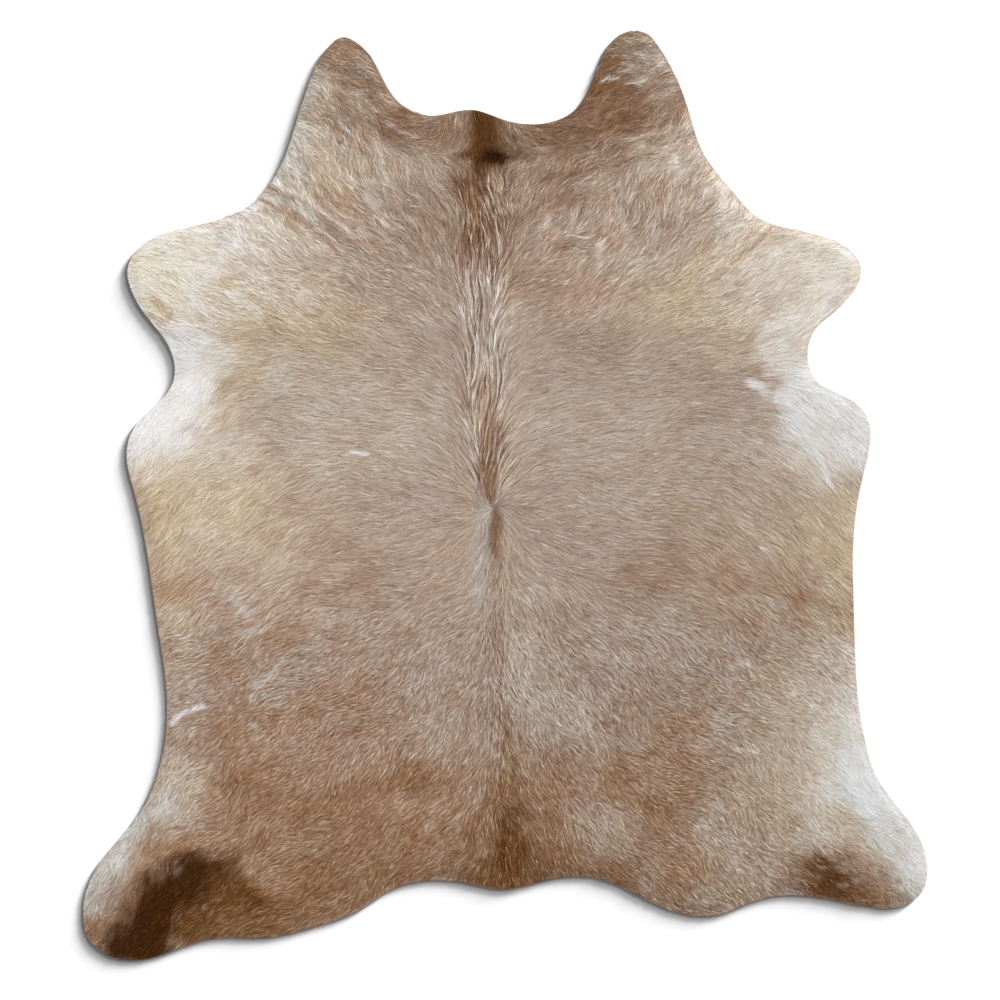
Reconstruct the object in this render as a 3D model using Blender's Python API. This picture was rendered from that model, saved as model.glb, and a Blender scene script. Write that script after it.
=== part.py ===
"""A hair-on cattle hide laid out flat: one solid, underside on the ground, neck towards +Y, coat up.

Metres, +Z up. The origin is under the middle of the hide's box, on the ground.
"""

from collections import namedtuple

import bmesh
import bpy
import numpy as np
from mathutils import Vector, geometry

# Driving dimensions.
HIDE_WIDTH = 2.00
HIDE_LENGTH = 2.20
LEATHER_THICKNESS = 0.0025
COAT_DEPTH = 0.0030
NECK_EXTRA = 0.0018
COAT_SLOPE = 0.024

# How finely the surface is divided.
EDGE_STEP = 0.018
SLOPE_RINGS = (0.008, 0.022)
COARSE_GRID = 0.054
FINE_GRID = 0.018
GRID_MARGIN = 0.036
FINE_REACH = 1.5
FOLD_STATIONS = 13
SAME_POINT = 1e-7
SHARP_ANGLE = np.radians(40)

# The neck is thicker than the back: it thickens from the first of these places along the hide to the second.
NECK_START = 0.35
NECK_FULL = 0.85

COLOUR = (0.39, 0.29, 0.21, 1.0)
ROUGHNESS = 0.75

# The cut edge, clockwise from the left ear, as places on a hide 2.00 m wide and 2.20 m long.
# "across" grows to the right and "along" grows towards the neck, both in metres.
Landmark = namedtuple("Landmark", "place across along")
OUTLINE = (
    Landmark("left ear tip", -0.384, 1.087),
    Landmark("left ear, inner shoulder", -0.359, 1.079),
    Landmark("left ear, inner shoulder", -0.327, 1.053),
    Landmark("left ear, inner side", -0.275, 0.963),
    Landmark("left ear, inner foot", -0.226, 0.914),
    Landmark("nape, left dip", -0.174, 0.901),
    Landmark("nape, crest", -0.079, 0.915),
    Landmark("nape, middle", -0.007, 0.893),
    Landmark("nape, right dip", 0.073, 0.881),
    Landmark("right ear, inner foot", 0.157, 0.908),
    Landmark("right ear, inner side", 0.201, 0.966),
    Landmark("right ear, inner side", 0.229, 1.038),
    Landmark("right ear, inner shoulder", 0.265, 1.088),
    Landmark("right ear tip", 0.306, 1.102),
    Landmark("right ear, outer shoulder", 0.340, 1.092),
    Landmark("right ear, outer shoulder", 0.359, 1.071),
    Landmark("right cheek", 0.431, 0.923),
    Landmark("right neck, narrowest", 0.470, 0.811),
    Landmark("right neck, foot", 0.534, 0.727),
    Landmark("right shoulder", 0.605, 0.656),
    Landmark("right foreleg, upper side", 0.684, 0.631),
    Landmark("right foreleg, upper side", 0.763, 0.611),
    Landmark("right foreleg, upper corner", 0.823, 0.578),
    Landmark("right foreleg tip", 0.843, 0.539),
    Landmark("right foreleg, lower corner", 0.829, 0.490),
    Landmark("right foreleg, lower side", 0.775, 0.436),
    Landmark("right foreleg, lower side", 0.732, 0.391),
    Landmark("right armpit", 0.717, 0.335),
    Landmark("right armpit, foot", 0.735, 0.279),
    Landmark("right elbow, upper side", 0.802, 0.238),
    Landmark("right elbow, corner", 0.853, 0.199),
    Landmark("right elbow", 0.867, 0.145),
    Landmark("right belly", 0.850, 0.054),
    Landmark("right belly", 0.828, -0.070),
    Landmark("right belly, narrowest", 0.826, -0.247),
    Landmark("right flank", 0.833, -0.427),
    Landmark("right flank", 0.850, -0.561),
    Landmark("right thigh", 0.891, -0.678),
    Landmark("right shank", 0.963, -0.776),
    Landmark("right shank tip", 1.002, -0.876),
    Landmark("right shank, lower corner", 0.989, -0.936),
    Landmark("right shank, lower corner", 0.937, -0.971),
    Landmark("right shank, hem", 0.850, -0.969),
    Landmark("right shank, hem", 0.753, -0.951),
    Landmark("right hem, dip", 0.650, -0.945),
    Landmark("right hem", 0.579, -0.963),
    Landmark("right rump lobe", 0.498, -0.992),
    Landmark("right rump lobe", 0.414, -0.986),
    Landmark("right rump", 0.321, -0.948),
    Landmark("right rump", 0.232, -0.908),
    Landmark("right of the tail, dip", 0.135, -0.902),
    Landmark("right of the tail", 0.042, -0.923),
    Landmark("tail root", -0.001, -0.930),
    Landmark("left of the tail", -0.087, -0.916),
    Landmark("left of the tail, dip", -0.180, -0.909),
    Landmark("left rump", -0.269, -0.931),
    Landmark("left rump", -0.350, -0.982),
    Landmark("left rump lobe", -0.443, -1.016),
    Landmark("left hem", -0.574, -1.045),
    Landmark("left hem, dip", -0.683, -1.045),
    Landmark("left shank, hem", -0.767, -1.068),
    Landmark("left shank, lower corner", -0.856, -1.096),
    Landmark("left shank, lower corner", -0.941, -1.087),
    Landmark("left shank, lower corner", -0.989, -1.043),
    Landmark("left shank tip", -1.000, -0.990),
    Landmark("left shank, upper corner", -0.966, -0.877),
    Landmark("left shank", -0.894, -0.789),
    Landmark("left thigh", -0.835, -0.691),
    Landmark("left flank", -0.805, -0.572),
    Landmark("left flank, narrowest", -0.801, -0.477),
    Landmark("left belly", -0.821, -0.318),
    Landmark("left belly", -0.845, -0.153),
    Landmark("left belly", -0.879, 0.013),
    Landmark("left elbow", -0.896, 0.088),
    Landmark("left elbow", -0.893, 0.128),
    Landmark("left elbow, corner", -0.867, 0.179),
    Landmark("left elbow, upper side", -0.809, 0.233),
    Landmark("left armpit, foot", -0.788, 0.265),
    Landmark("left armpit", -0.782, 0.296),
    Landmark("left foreleg, lower side", -0.803, 0.367),
    Landmark("left foreleg, lower side", -0.855, 0.434),
    Landmark("left foreleg, lower corner", -0.889, 0.500),
    Landmark("left foreleg tip", -0.894, 0.536),
    Landmark("left foreleg, upper corner", -0.867, 0.588),
    Landmark("left foreleg, upper side", -0.791, 0.627),
    Landmark("left foreleg, upper side", -0.676, 0.655),
    Landmark("left shoulder", -0.598, 0.694),
    Landmark("left neck, foot", -0.536, 0.772),
    Landmark("left cheek", -0.487, 0.908),
    Landmark("left ear, outer side", -0.460, 0.986),
    Landmark("left ear, outer side", -0.438, 1.035),
    Landmark("left ear, outer shoulder", -0.409, 1.073),
)

# Creases and ridges that the skin keeps when it is laid out. Each runs from start to end, bowed sideways by
# "bow" at its middle. "breadth" is the half width of its soft profile, and a negative "rise" is a trough.
Fold = namedtuple("Fold", "place start end bow breadth rise")
FOLDS = (
    Fold("left neck, upper", (-0.425, 0.900), (-0.300, 0.790), 0.016, 0.019, 0.0016),
    Fold("left neck, trough", (-0.470, 0.835), (-0.330, 0.700), 0.014, 0.021, -0.0013),
    Fold("left neck, lower", (-0.525, 0.715), (-0.330, 0.580), 0.018, 0.024, 0.0018),
    Fold("right neck, upper", (0.425, 0.886), (0.140, 0.844), 0.012, 0.020, 0.0017),
    Fold("right neck, trough", (0.440, 0.850), (0.190, 0.800), 0.010, 0.018, -0.0012),
    Fold("right neck, lower", (0.435, 0.800), (0.110, 0.764), -0.020, 0.022, 0.0018),
    Fold("right shoulder", (0.520, 0.655), (0.330, 0.520), -0.012, 0.024, 0.0011),
    Fold("left shoulder", (-0.640, 0.560), (-0.440, 0.420), 0.012, 0.024, 0.0010),
    Fold("right elbow crease", (0.728, 0.012), (0.838, 0.022), 0.004, 0.017, -0.0013),
    Fold("poll pit", (-0.050, 0.806), (-0.018, 0.806), 0.000, 0.020, -0.0026),
    Fold("back, upper", (-0.040, 0.770), (-0.034, 0.010), 0.000, 0.032, 0.0011),
    Fold("whorl", (-0.034, -0.012), (-0.030, -0.048), 0.000, 0.019, -0.0010),
    Fold("back, lower", (-0.030, -0.080), (0.006, -0.900), 0.000, 0.030, 0.0012),
)


def closed_spline(points, spans):
    """Points on the smooth closed curve through the given ones, each stretch cut into its number of `spans`."""
    count = len(points)
    length = np.linalg.norm(np.roll(points, -1, axis=0) - points, axis=1)
    equations = np.zeros((count, count))
    slopes = np.zeros((count, 2))
    for here in range(count):
        before, after = here - 1, (here + 1) % count
        equations[here, before] += 1 / length[before]
        equations[here, here] += 2 / length[before] + 2 / length[here]
        equations[here, after] += 1 / length[here]
        slopes[here] = 3 * (points[here] - points[before]) / length[before] ** 2
        slopes[here] += 3 * (points[after] - points[here]) / length[here] ** 2
    slopes = np.linalg.solve(equations, slopes)
    curve = []
    for here in range(count):
        after = (here + 1) % count
        t = np.arange(spans[here])[:, None] / spans[here]
        curve.append(
            (1 + 2 * t) * (1 - t) ** 2 * points[here]
            + t * (1 - t) ** 2 * length[here] * slopes[here]
            + (3 - 2 * t) * t**2 * points[after]
            - (1 - t) * t**2 * length[here] * slopes[after]
        )
    return np.concatenate(curve)


def hide_outline():
    """The cut edge as evenly spaced points, clockwise, fitted to the hide's width and length."""
    marks = np.array([(mark.across, mark.along) for mark in OUTLINE])
    reach = np.linalg.norm(np.roll(marks, -1, axis=0) - marks, axis=1)
    edge = closed_spline(marks, np.ceil(reach / EDGE_STEP).astype(int))
    low, high = edge.min(axis=0), edge.max(axis=0)
    return (edge - (low + high) / 2) * (HIDE_WIDTH, HIDE_LENGTH) / (high - low)


def inset(edge, depth):
    """The edge moved inwards by `depth`."""
    tangent = np.roll(edge, -1, axis=0) - np.roll(edge, 1, axis=0)
    tangent /= np.linalg.norm(tangent, axis=1)[:, None]
    inwards = np.stack([tangent[:, 1], -tangent[:, 0]], axis=1)
    return edge + depth * inwards


def distance_to(points, starts, ends):
    """From each point to the nearest of the straight stretches."""
    run = ends - starts
    offset = points[:, None] - starts[None]
    share = np.clip((offset * run).sum(axis=2) / (run**2).sum(axis=1), 0, 1)
    return np.linalg.norm(offset - share[..., None] * run, axis=2).min(axis=1)


def distance_to_edge(points, edge):
    return distance_to(points, edge, np.roll(edge, -1, axis=0))


def fold_line(fold):
    """Stations along a fold, bowed to its left."""
    start, end = np.array(fold.start), np.array(fold.end)
    run = end - start
    left = np.array([-run[1], run[0]]) / np.linalg.norm(run)
    t = np.linspace(0, 1, FOLD_STATIONS)[:, None]
    return start + t * run + 4 * t * (1 - t) * fold.bow * left


def distance_to_fold(points, fold):
    line = fold_line(fold)
    return distance_to(points, line[:-1], line[1:])


def smooth_step(value, low, high):
    t = np.clip((value - low) / (high - low), 0, 1)
    return t * t * (3 - 2 * t)


def surface_height(points, edge):
    """Height of the coat: thin at the cut edge, fuller on the neck, with the folds added."""
    cover = smooth_step(distance_to_edge(points, edge), 0, COAT_SLOPE)
    neck = smooth_step(points[:, 1], NECK_START, NECK_FULL)
    height = COAT_DEPTH + NECK_EXTRA * neck
    for fold in FOLDS:
        height += fold.rise * np.exp(-((distance_to_fold(points, fold) / fold.breadth) ** 2))
    return LEATHER_THICKNESS + cover * height


def inside(points, edge):
    """Which points lie within the edge, by counting the stretches that a ray to +X crosses."""
    x, y = points[:, :1], points[:, 1:]
    x0, y0 = edge.T
    x1, y1 = np.roll(edge, -1, axis=0).T
    spans = (y0 > y) != (y1 > y)
    level = np.where(y1 == y0, 1, y1 - y0)
    crossing = x0 + (y - y0) * (x1 - x0) / level
    return (spans & (crossing > x)).sum(axis=1) % 2 == 1


def grid_points(edge):
    """Points over the hide: coarse all over, and fine along the folds."""
    steps_across = int(HIDE_WIDTH / 2 / FINE_GRID)
    steps_along = int(HIDE_LENGTH / 2 / FINE_GRID)
    coarse_every = round(COARSE_GRID / FINE_GRID)
    column, row = np.meshgrid(
        np.arange(-steps_across, steps_across + 1), np.arange(-steps_along, steps_along + 1)
    )
    column, row = column.ravel(), row.ravel()
    shift = np.where(row % 2 == 0, 0.0, FINE_GRID / 2)
    points = np.stack([column * FINE_GRID + shift, row * FINE_GRID], axis=1)
    coarse = (column % coarse_every == 0) & (row % coarse_every == 0)
    fine = np.zeros(len(points), bool)
    for fold in FOLDS:
        fine |= distance_to_fold(points, fold) < FINE_REACH * fold.breadth
    points = points[coarse | fine]
    clear = inside(points, edge)
    clear &= distance_to_edge(points, edge) > GRID_MARGIN
    return points[clear]


def triangulate(points, border_count):
    """Triangles over the points, within the border that the first `border_count` of them make."""
    found = geometry.delaunay_2d_cdt(
        [Vector(point) for point in points], [], [list(range(border_count))], 1, SAME_POINT
    )
    assert len(found[0]) == len(points), "two points of the surface coincide"
    return [tuple(face) for face in found[2]]


def turned(face, corners, upwards):
    """The face with its corners in the order that makes it look up, or down."""
    a, b, c = (corners[index] for index in face)
    turn = (b[0] - a[0]) * (c[1] - a[1]) - (b[1] - a[1]) * (c[0] - a[0])
    return face if (turn > 0) == upwards else face[::-1]


def add_hide(material):
    edge = hide_outline()
    rings = [inset(edge, depth) for depth in SLOPE_RINGS]
    points = np.concatenate([edge, *rings, grid_points(edge)])
    heights = surface_height(points, edge)
    top_faces = triangulate(points, len(edge))
    bottom_faces = triangulate(edge, len(edge))

    shape = bmesh.new()
    top = [shape.verts.new((x, y, z)) for (x, y), z in zip(points, heights)]
    bottom = [shape.verts.new((x, y, 0.0)) for x, y in edge]
    for face in top_faces:
        shape.faces.new([top[index] for index in turned(face, points, True)])
    for face in bottom_faces:
        shape.faces.new([bottom[index] for index in turned(face, edge, False)])
    for here in range(len(edge)):
        after = (here + 1) % len(edge)
        shape.faces.new((top[here], top[after], bottom[after], bottom[here]))

    mesh = bpy.data.meshes.new("hide")
    shape.to_mesh(mesh)
    shape.free()
    mesh.materials.append(material)
    mesh.shade_smooth()
    mesh.set_sharp_from_angle(angle=SHARP_ANGLE)
    hide = bpy.data.objects.new("hide", mesh)
    bpy.context.collection.objects.link(hide)
    return hide


def coat_material():
    material = bpy.data.materials.new("coat")
    material.use_nodes = True
    shader = material.node_tree.nodes["Principled BSDF"]
    shader.inputs["Base Color"].default_value = COLOUR
    shader.inputs["Roughness"].default_value = ROUGHNESS
    shader.inputs["Metallic"].default_value = 0.0
    return material


def main():
    for thing in list(bpy.data.objects):
        bpy.data.objects.remove(thing)
    add_hide(coat_material())


main()
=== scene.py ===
"""The looks of a hair-on cattle hide that lies flat: its skin, its lying coat, and a plain studio.

Metres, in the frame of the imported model. Places on the hide are read off the photograph in its pixels.
"""

from collections import namedtuple

import bmesh
import bpy
import numpy as np
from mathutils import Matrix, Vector, geometry
from mathutils.bvhtree import BVHTree
from mathutils.kdtree import KDTree

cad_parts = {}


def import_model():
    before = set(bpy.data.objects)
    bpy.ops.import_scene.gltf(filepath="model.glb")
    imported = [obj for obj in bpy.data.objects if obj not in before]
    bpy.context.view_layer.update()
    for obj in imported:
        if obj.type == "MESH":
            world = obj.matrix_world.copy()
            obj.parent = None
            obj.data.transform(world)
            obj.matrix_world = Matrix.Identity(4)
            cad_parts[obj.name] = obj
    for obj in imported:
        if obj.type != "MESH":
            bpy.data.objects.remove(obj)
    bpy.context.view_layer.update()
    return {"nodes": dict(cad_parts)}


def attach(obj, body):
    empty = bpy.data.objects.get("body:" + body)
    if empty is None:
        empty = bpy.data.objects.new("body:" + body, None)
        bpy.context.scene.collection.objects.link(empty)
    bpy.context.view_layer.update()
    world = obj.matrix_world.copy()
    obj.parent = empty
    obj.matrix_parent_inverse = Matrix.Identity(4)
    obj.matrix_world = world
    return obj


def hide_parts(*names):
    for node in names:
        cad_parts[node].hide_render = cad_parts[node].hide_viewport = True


# ---- The photograph's frame ----

FRAME = 1000
PIXEL = 0.002368
MIDDLE_PX = 505.5
MIDDLE_PY = 495.5


def to_pixels(places):
    return np.stack([places[:, 0] / PIXEL + MIDDLE_PX, MIDDLE_PY - places[:, 1] / PIXEL], axis=1)


def to_metres(pixels):
    return np.stack([(pixels[:, 0] - MIDDLE_PX) * PIXEL, (MIDDLE_PY - pixels[:, 1]) * PIXEL], axis=1)


def rows_of(kind, *rows):
    return [kind(*row) for row in rows]


# ---- Fields over the photograph's frame ----

PX, PY = np.meshgrid(np.arange(FRAME, dtype=np.float32), np.arange(FRAME, dtype=np.float32))

# The line of the back, from the nape to the tail.
SPINE_ROWS = (100, 155, 200, 330, 450, 508, 700, 890)
SPINE_COLUMNS = (487, 488, 483, 484, 489, 492, 499, 510)
WHORL = (492, 508)
POLL_ROW = 154
# How far to the right of the back each place is, in pixels.
ACROSS = PX - np.interp(PY, SPINE_ROWS, SPINE_COLUMNS)

# Which way the hair lies. "lean" is the angle in degrees that it rises towards the neck, measured from the
# line that points straight away from the back.
Lie = namedtuple("Lie", "px py lean")
LIES = rows_of(
    Lie,
    (345, 48, 8), (330, 90, 38), (380, 95, 30), (425, 122, 12), (462, 128, -62), (300, 125, 58),
    (330, 145, 50), (290, 155, 58), (272, 178, 38), (350, 190, 58), (400, 180, 54), (305, 215, 36),
    (270, 235, 46), (332, 252, 48), (400, 250, 38), (448, 240, 45), (270, 290, 30), (332, 295, 34),
    (400, 305, 12), (200, 255, 8), (150, 270, 5), (180, 320, 34), (330, 345, 20), (250, 370, 6),
    (400, 400, -10), (300, 420, -6), (200, 400, -50), (170, 440, -48), (240, 450, -36), (390, 480, 6),
    (300, 500, -16), (250, 500, -40), (440, 500, 14), (180, 520, -46), (420, 550, -20), (350, 580, -22),
    (385, 565, 0), (250, 590, -42), (400, 650, -38), (180, 640, -46), (300, 680, -28), (420, 760, -42),
    (300, 780, -34), (200, 750, -50), (340, 860, -44), (250, 880, -34), (205, 865, -16), (150, 850, -54),
    (110, 910, -50), (430, 860, -42), (630, 45, 4), (590, 90, 8), (655, 90, 14), (560, 120, 2),
    (620, 125, 12), (514, 128, -60), (675, 130, 46), (640, 160, 40), (580, 165, 42), (692, 165, 66),
    (600, 210, 70), (545, 195, 40), (620, 245, 62), (560, 240, 47), (700, 225, 57), (530, 250, 40),
    (740, 240, 44), (530, 300, 26), (600, 290, 34), (655, 300, 30), (705, 300, 26), (800, 260, 20),
    (845, 265, 5), (800, 310, 38), (690, 353, 16), (600, 370, -4), (560, 385, -4), (740, 385, 16),
    (745, 318, 38), (777, 375, 0), (820, 418, -40), (850, 460, -44), (700, 430, -6), (740, 440, -34),
    (600, 460, 8), (800, 500, -38), (620, 520, -2), (720, 540, -32), (600, 580, -20), (560, 560, -8),
    (830, 600, -42), (560, 620, -48), (680, 620, -34), (780, 650, -32), (590, 720, -48), (700, 740, -24),
    (820, 740, -42), (560, 820, -48), (640, 840, -42), (740, 840, -44), (870, 820, -48), (820, 890, -40),
    (900, 880, -45),
)
LIE_REACH = 34
SPINE_REACH_FORE = 34
SPINE_REACH_HIND = 46
SPINE_CORE_FORE = 32
SPINE_CORE_HIND = 24
WHORL_REACH = 13


def spline_weights(count, cell):
    """A matrix that draws a smooth line of `count` values through knots `cell` apart."""
    place = np.arange(count) / cell
    knot = place.astype(int)
    t = place - knot
    weights = np.zeros((count, knot.max() + 4))
    rows = np.arange(count)
    weights[rows, knot] = (1 - t) ** 3 / 6
    weights[rows, knot + 1] = (3 * t**3 - 6 * t**2 + 4) / 6
    weights[rows, knot + 2] = (-3 * t**3 + 3 * t**2 + 3 * t + 1) / 6
    weights[rows, knot + 3] = t**3 / 6
    return weights


def noise(random, cell):
    """Smooth noise of spread 1 over the frame, with spots about `cell` pixels wide."""
    weights = spline_weights(FRAME, cell)
    knots = random.standard_normal((weights.shape[1], weights.shape[1]))
    found = weights @ knots @ weights.T
    return (found / found.std()).astype(np.float32)


def at(field, px, py):
    """The field's values at these places, between its pixels."""
    px, py = np.clip(px, 0, field.shape[1] - 1.001), np.clip(py, 0, field.shape[0] - 1.001)
    column, row = px.astype(np.int32), py.astype(np.int32)
    fx, fy = px - column, py - row
    if field.ndim == 3:
        fx, fy = fx[..., None], fy[..., None]
    upper = field[row, column] * (1 - fx) + field[row, column + 1] * fx
    lower = field[row + 1, column] * (1 - fx) + field[row + 1, column + 1] * fx
    return upper * (1 - fy) + lower * fy


def smooth_step(value, low, high):
    t = np.clip((value - low) / (high - low), 0, 1)
    return t * t * (3 - 2 * t)


def bell(distance, width, power=2):
    """1 at no distance, and near 0 beyond the width. A higher power makes its top flatter."""
    return np.exp(-((distance / width) ** power))


def towards_neck(first_row=330, full_row=200):
    """0 behind the first row, and 1 before the full one."""
    return smooth_step(-PY, -first_row, -full_row)


def towards_rump(first_row=540, full_row=680):
    """0 before the first row, and 1 behind the full one."""
    return smooth_step(PY, first_row, full_row)


def turned(right, up, angle):
    """The direction turned anticlockwise by the angle, in radians."""
    return right * np.cos(angle) - up * np.sin(angle), right * np.sin(angle) + up * np.cos(angle)


def hair_flow(random):
    """The direction of the lying hair as two fields: to the right, and towards the neck."""
    total = np.full((FRAME, FRAME), 1e-9, np.float32)
    right, up = np.zeros_like(total), np.zeros_like(total)
    for lie in LIES:
        outwards = 1 if lie.px > np.interp(lie.py, SPINE_ROWS, SPINE_COLUMNS) else -1
        away = ((PX - lie.px) ** 2 + (PY - lie.py) ** 2) / LIE_REACH**2
        weight = 1 / (1 + away) ** 2 * (outwards * ACROSS > -10)
        lean = np.radians(lie.lean)
        right += weight * outwards * np.cos(lean)
        up += weight * np.sin(lean)
        total += weight
    right, up = right / total, up / total
    # Along the back the hair lies lengthwise: forwards before the whorl, and backwards behind it.
    fore = np.tanh((WHORL[1] - PY) / (14 + 0.9 * np.abs(ACROSS)))
    fore = np.where(PY < POLL_ROW + 40, np.tanh((PY - POLL_ROW) / 6), fore)
    reach = np.interp(PY, (380, 470), (SPINE_REACH_FORE, SPINE_REACH_HIND))
    core = np.interp(PY, (240, 420), (SPINE_CORE_FORE, SPINE_CORE_HIND))
    narrow = np.interp(PY, (162, 180, 420, 505), (0, 1, 1, 0)) * bell(ACROSS, core, 4)
    share = np.maximum(np.exp(-np.abs(ACROSS) / reach), narrow)
    right = right * (1 - share)
    up = up * (1 - share) + share * fore
    # From the whorl it turns outwards on every side.
    from_whorl = np.hypot(PX - WHORL[0], PY - WHORL[1]) + 0.01
    share = bell(from_whorl, WHORL_REACH)
    right = right * (1 - share) + share * (PX - WHORL[0]) / from_whorl
    up = up * (1 - share) - share * (PY - WHORL[1]) / from_whorl
    neck, low = towards_neck(330, 180), towards_rump()
    turn = 5 * noise(random, 60) + (5 + 7 * neck + 3 * low) * noise(random, 24)
    turn = turn + (6 + 5 * neck + 3 * low) * noise(random, 9)
    right, up = turned(right, up, np.radians(turn))
    length = np.hypot(right, up) + 1e-6
    return (right / length).astype(np.float32), (up / length).astype(np.float32)


def drawn_out(field, flow, reach):
    """The field smeared along the hair, `reach` pixels each way."""
    total = field.copy()
    for way in (1, -1):
        px, py = PX.copy(), PY.copy()
        for step in range(1, reach + 1):
            row = np.clip(py + 0.5, 0, FRAME - 1).astype(np.int32)
            column = np.clip(px + 0.5, 0, FRAME - 1).astype(np.int32)
            px += way * flow[0][row, column]
            py -= way * flow[1][row, column]
            total += at(field, px, py) * np.cos(1.4 * step / (reach + 1))
    return total / total.std()


# ---- The coat's colours ----

# Tones as they look in the photograph, in the 0 to 255 of a screen.
TAUPE = (170, 153, 138)
GREY = (170, 160, 150)
PALE = (186, 173, 157)
ROSY = (160, 136, 118)
RUSSET = (151, 117, 89)
UMBER = (141, 121, 103)
TAN = (176, 154, 133)
COCOA = (122, 95, 74)
BROWN = (129, 97, 67)
DARK = (95, 62, 29)
DEEP = (60, 33, 7)
# The pit's dark hair, with painted shade in the hollow.
PIT_DARK_AND_PAINTED_SHADE = (46, 22, 4)
SAND = (192, 176, 152)
GOLD = (188, 169, 142)
CREAM = (219, 212, 200)
IVORY = (222, 216, 194)
WHITE = (238, 240, 241)
ASH = (160, 145, 131)
SILVER = (196, 195, 187)
BASE_TONE = TAUPE

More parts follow.
